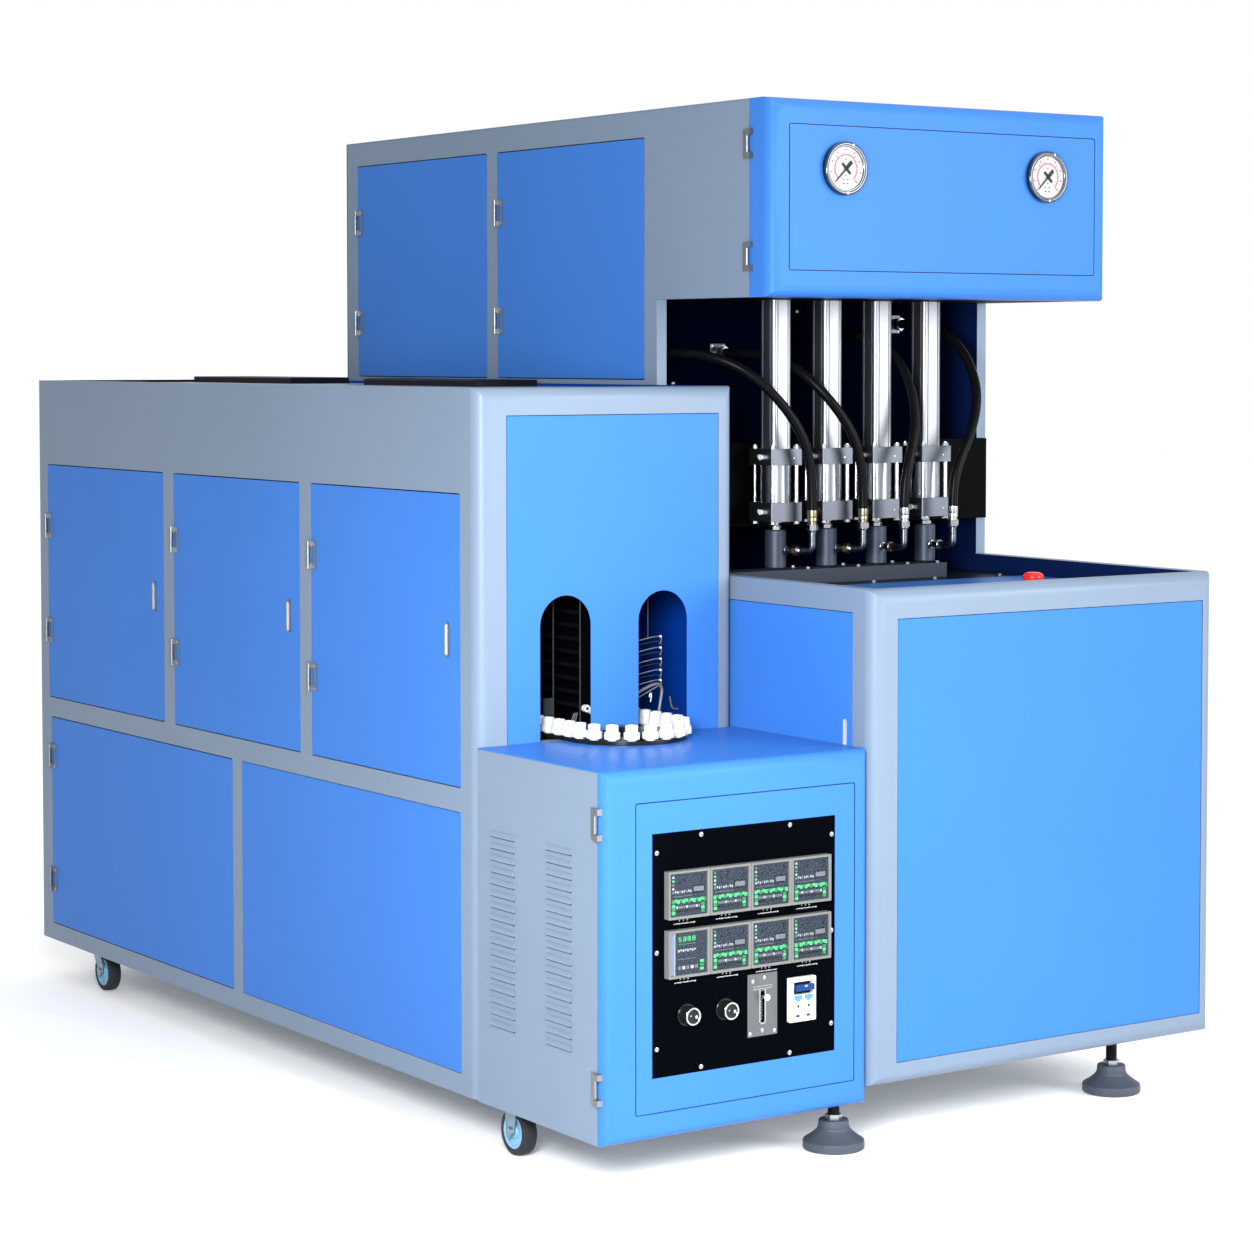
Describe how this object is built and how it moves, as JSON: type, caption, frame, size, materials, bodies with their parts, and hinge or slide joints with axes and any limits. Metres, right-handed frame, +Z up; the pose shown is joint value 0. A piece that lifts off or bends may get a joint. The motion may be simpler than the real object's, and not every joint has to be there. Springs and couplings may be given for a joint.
{
  "type": "blow moulding machine",
  "caption": "Semi-automatic stretch blow moulding machine: a preform preheater with a front control box beside a blow unit with stretch cylinders over its nozzles.",
  "frame": {"origin": "middle of the footprint, on the floor", "axes": "+X to the machine's right, seen from its front; +Y to its back; +Z up"},
  "size_m": [1.5484, 2.5868, 2.0835],
  "materials": {
    "aluminium": "satin anodised",
    "black_paint": "satin",
    "black_plastic": "matt",
    "blue_paint": "satin powder coat",
    "blue_plastic": "gloss",
    "dial": "polished rim round a white dial",
    "foot_rubber": "matt",
    "grey_paint": "satin powder coat",
    "grey_plastic": "matt",
    "gunmetal": "satin",
    "hose_rubber": "matt",
    "red_plastic": "gloss",
    "steel": "brushed",
    "tyre": "matt",
    "white_plastic": "gloss",
    "zinc": "plated"
  },
  "bodies": {
    "machine": {"oven_frame": "grey_paint", "oven_front_panel": "blue_paint", "oven_rear_panels": "grey_paint", "floor_pans": "grey_paint", "oven_deck": "black_paint", "oven_top_cover": "black_paint", "lower_fixed_panel": "blue_paint", "lamp_bank": "steel", "chain_guide": "black_plastic", "preform_holders": "white_plastic", "control_box": "grey_paint", "control_shelf": "blue_paint", "base_frame": "grey_paint", "base_front_panel": "blue_paint", "base_side_panel": "blue_paint", "table_top": "blue_paint", "tower_frame": "grey_paint", "tower_rear_panels": "grey_paint", "tower_top_cover": "grey_paint", "chamber_panel": "black_paint", "head_floor": "black_paint", "stretch_cylinders": "aluminium", "seal_cylinders": "aluminium", "nozzle_bar": "gunmetal", "cylinder_beam": "black_paint", "air_hoses": "hose_rubber", "air_manifold": "zinc", "levelling_feet": "foot_rubber", "caster_mounts": "zinc", "cabinet_hinges": "steel"},
    "control_door": {"control_door": "blue_paint", "instrument_plate": "black_paint", "panel_instruments": "grey_plastic"},
    "head_door": {"head_door": "blue_paint", "gauge_cases": "dial"},
    "oven_door_front": {"oven_door_front": "blue_paint"},
    "oven_door_middle": {"oven_door_middle": "blue_paint"},
    "oven_door_rear": {"oven_door_rear": "blue_paint"},
    "lower_door": {"lower_door": "blue_paint"},
    "tower_door_front": {"tower_door_front": "blue_paint"},
    "tower_door_rear": {"tower_door_rear": "blue_paint"},
    "knob_left": {"knob_left": "black_plastic"},
    "knob_right": {"knob_right": "black_plastic"},
    "slider": {"slider": "steel"},
    "breaker_toggle": {"breaker_toggle": "blue_plastic"},
    "gauge_needle_left": {"gauge_needle_left": "black_plastic"},
    "gauge_needle_right": {"gauge_needle_right": "black_plastic"},
    "turning_wheel": {"turning_wheel": "steel"},
    "caster_fork_left": {"caster_fork_left": "zinc"},
    "caster_fork_right": {"caster_fork_right": "zinc"},
    "front_wheel_left": {"front_wheel_left": "tyre"},
    "front_wheel_right": {"front_wheel_right": "tyre"},
    "rear_wheel_left": {"rear_wheel_left": "tyre"},
    "rear_wheel_right": {"rear_wheel_right": "tyre"},
    "nozzle_1": {"nozzle_1": "gunmetal"},
    "nozzle_2": {"nozzle_2": "gunmetal"},
    "nozzle_3": {"nozzle_3": "gunmetal"},
    "nozzle_4": {"nozzle_4": "gunmetal"},
    "stretch_rods": {"stretch_rods": "steel"},
    "e_stop_button": {"e_stop_button": "red_plastic"}
  },
  "joints": [
    {"name": "oven_door_front_hinge", "type": "hinge", "parent": "machine", "child": "oven_door_front", "pos_m": [-0.7697, -0.1346, 0.999], "axis": [0, 0, -1], "range_deg": [0, 110]},
    {"name": "oven_door_middle_hinge", "type": "hinge", "parent": "machine", "child": "oven_door_middle", "pos_m": [-0.7697, 0.5314, 0.999], "axis": [0, 0, -1], "range_deg": [0, 110]},
    {"name": "oven_door_rear_hinge", "type": "hinge", "parent": "machine", "child": "oven_door_rear", "pos_m": [-0.7697, 1.2454, 0.999], "axis": [0, 0, -1], "range_deg": [0, 110]},
    {"name": "lower_door_hinge", "type": "hinge", "parent": "machine", "child": "lower_door", "pos_m": [-0.7697, 1.2344, 0.4], "axis": [0, 0, -1], "range_deg": [0, 110]},
    {"name": "tower_door_front_hinge", "type": "hinge", "parent": "machine", "child": "tower_door_front", "pos_m": [-0.1492, 0.1151, 1.766], "axis": [0, 0, -1], "range_deg": [0, 110]},
    {"name": "tower_door_rear_hinge", "type": "hinge", "parent": "machine", "child": "tower_door_rear", "pos_m": [-0.1492, 0.7715, 1.766], "axis": [0, 0, -1], "range_deg": [0, 110]},
    {"name": "control_door_hinge", "type": "hinge", "parent": "machine", "child": "control_door", "pos_m": [-0.7681, -1.2416, 0.447], "axis": [0, 0, -1], "range_deg": [0, 110]},
    {"name": "head_door_hinge", "type": "hinge", "parent": "machine", "child": "head_door", "pos_m": [-0.1476, -0.8643, 1.881], "axis": [0, 0, -1], "range_deg": [0, 100]},
    {"name": "knob_left_turn", "type": "hinge", "parent": "control_door", "child": "knob_left", "pos_m": [-0.5807, -1.2776, 0.3275], "axis": [0, 1, 0], "range_deg": [-135, 135]},
    {"name": "knob_right_turn", "type": "hinge", "parent": "control_door", "child": "knob_right", "pos_m": [-0.4924, -1.2776, 0.3275], "axis": [0, 1, 0], "range_deg": [-135, 135]},
    {"name": "slider_slide", "type": "slide", "parent": "control_door", "child": "slider", "axis": [0, 0, -1], "range_m": [0, 0.04]},
    {"name": "breaker_toggle_hinge", "type": "hinge", "parent": "control_door", "child": "breaker_toggle", "pos_m": [-0.3147, -1.2741, 0.351], "axis": [1, 0, 0], "range_deg": [0, 30]},
    {"name": "gauge_needle_left_turn", "type": "hinge", "parent": "head_door", "child": "gauge_needle_left", "pos_m": [0.0428, -0.9481, 1.943], "axis": [0, 1, 0], "range_deg": [0, 270], "stiffness_Nm_per_rad": 0.002, "springref_deg": -5.73},
    {"name": "gauge_needle_right_turn", "type": "hinge", "parent": "head_door", "child": "gauge_needle_right", "pos_m": [0.5918, -0.9481, 1.943], "axis": [0, 1, 0], "range_deg": [0, 270], "stiffness_Nm_per_rad": 0.002, "springref_deg": -5.73},
    {"name": "turning_wheel_turn", "type": "hinge", "parent": "machine", "child": "turning_wheel", "pos_m": [-0.4402, -0.8556, 0.802], "axis": [0, 0, 1], "continuous": true},
    {"name": "caster_fork_left_swivel", "type": "hinge", "parent": "machine", "child": "caster_fork_left", "pos_m": [-0.7132, 1.0464, 0.114], "axis": [0, 0, 1], "continuous": true},
    {"name": "rear_wheel_left_roll", "type": "hinge", "parent": "caster_fork_left", "child": "rear_wheel_left", "pos_m": [-0.7132, 1.0204, 0.047], "axis": [1, 0, 0], "continuous": true},
    {"name": "front_wheel_left_roll", "type": "hinge", "parent": "machine", "child": "front_wheel_left", "pos_m": [-0.7132, -0.8876, 0.047], "axis": [1, 0, 0], "continuous": true},
    {"name": "caster_fork_right_swivel", "type": "hinge", "parent": "machine", "child": "caster_fork_right", "pos_m": [-0.1932, 1.0464, 0.114], "axis": [0, 0, 1], "continuous": true},
    {"name": "rear_wheel_right_roll", "type": "hinge", "parent": "caster_fork_right", "child": "rear_wheel_right", "pos_m": [-0.1932, 1.0204, 0.047], "axis": [1, 0, 0], "continuous": true},
    {"name": "front_wheel_right_roll", "type": "hinge", "parent": "machine", "child": "front_wheel_right", "pos_m": [-0.1932, -0.8876, 0.047], "axis": [1, 0, 0], "continuous": true},
    {"name": "nozzle_1_press", "type": "slide", "parent": "machine", "child": "nozzle_1", "axis": [0, 0, -1], "range_m": [0, 0.03], "deforming": ["air_hoses"]},
    {"name": "nozzle_2_press", "type": "slide", "parent": "machine", "child": "nozzle_2", "axis": [0, 0, -1], "range_m": [0, 0.03]},
    {"name": "nozzle_3_press", "type": "slide", "parent": "machine", "child": "nozzle_3", "axis": [0, 0, -1], "range_m": [0, 0.03]},
    {"name": "nozzle_4_press", "type": "slide", "parent": "machine", "child": "nozzle_4", "axis": [0, 0, -1], "range_m": [0, 0.03]},
    {"name": "stretch_rods_stroke", "type": "slide", "parent": "machine", "child": "stretch_rods", "axis": [0, 0, -1], "range_m": [0, 0.25]},
    {"name": "e_stop_press", "type": "slide", "parent": "machine", "child": "e_stop_button", "axis": [0, 0, -1], "range_m": [0, 0.005], "stiffness_N_per_m": 2000, "springref_m": -0.004}
  ],
  "couplings": [
    {"joint": "nozzle_2_press", "follows": "nozzle_1_press", "ratio": 1},
    {"joint": "nozzle_3_press", "follows": "nozzle_1_press", "ratio": 1},
    {"joint": "nozzle_4_press", "follows": "nozzle_1_press", "ratio": 1}
  ]
}
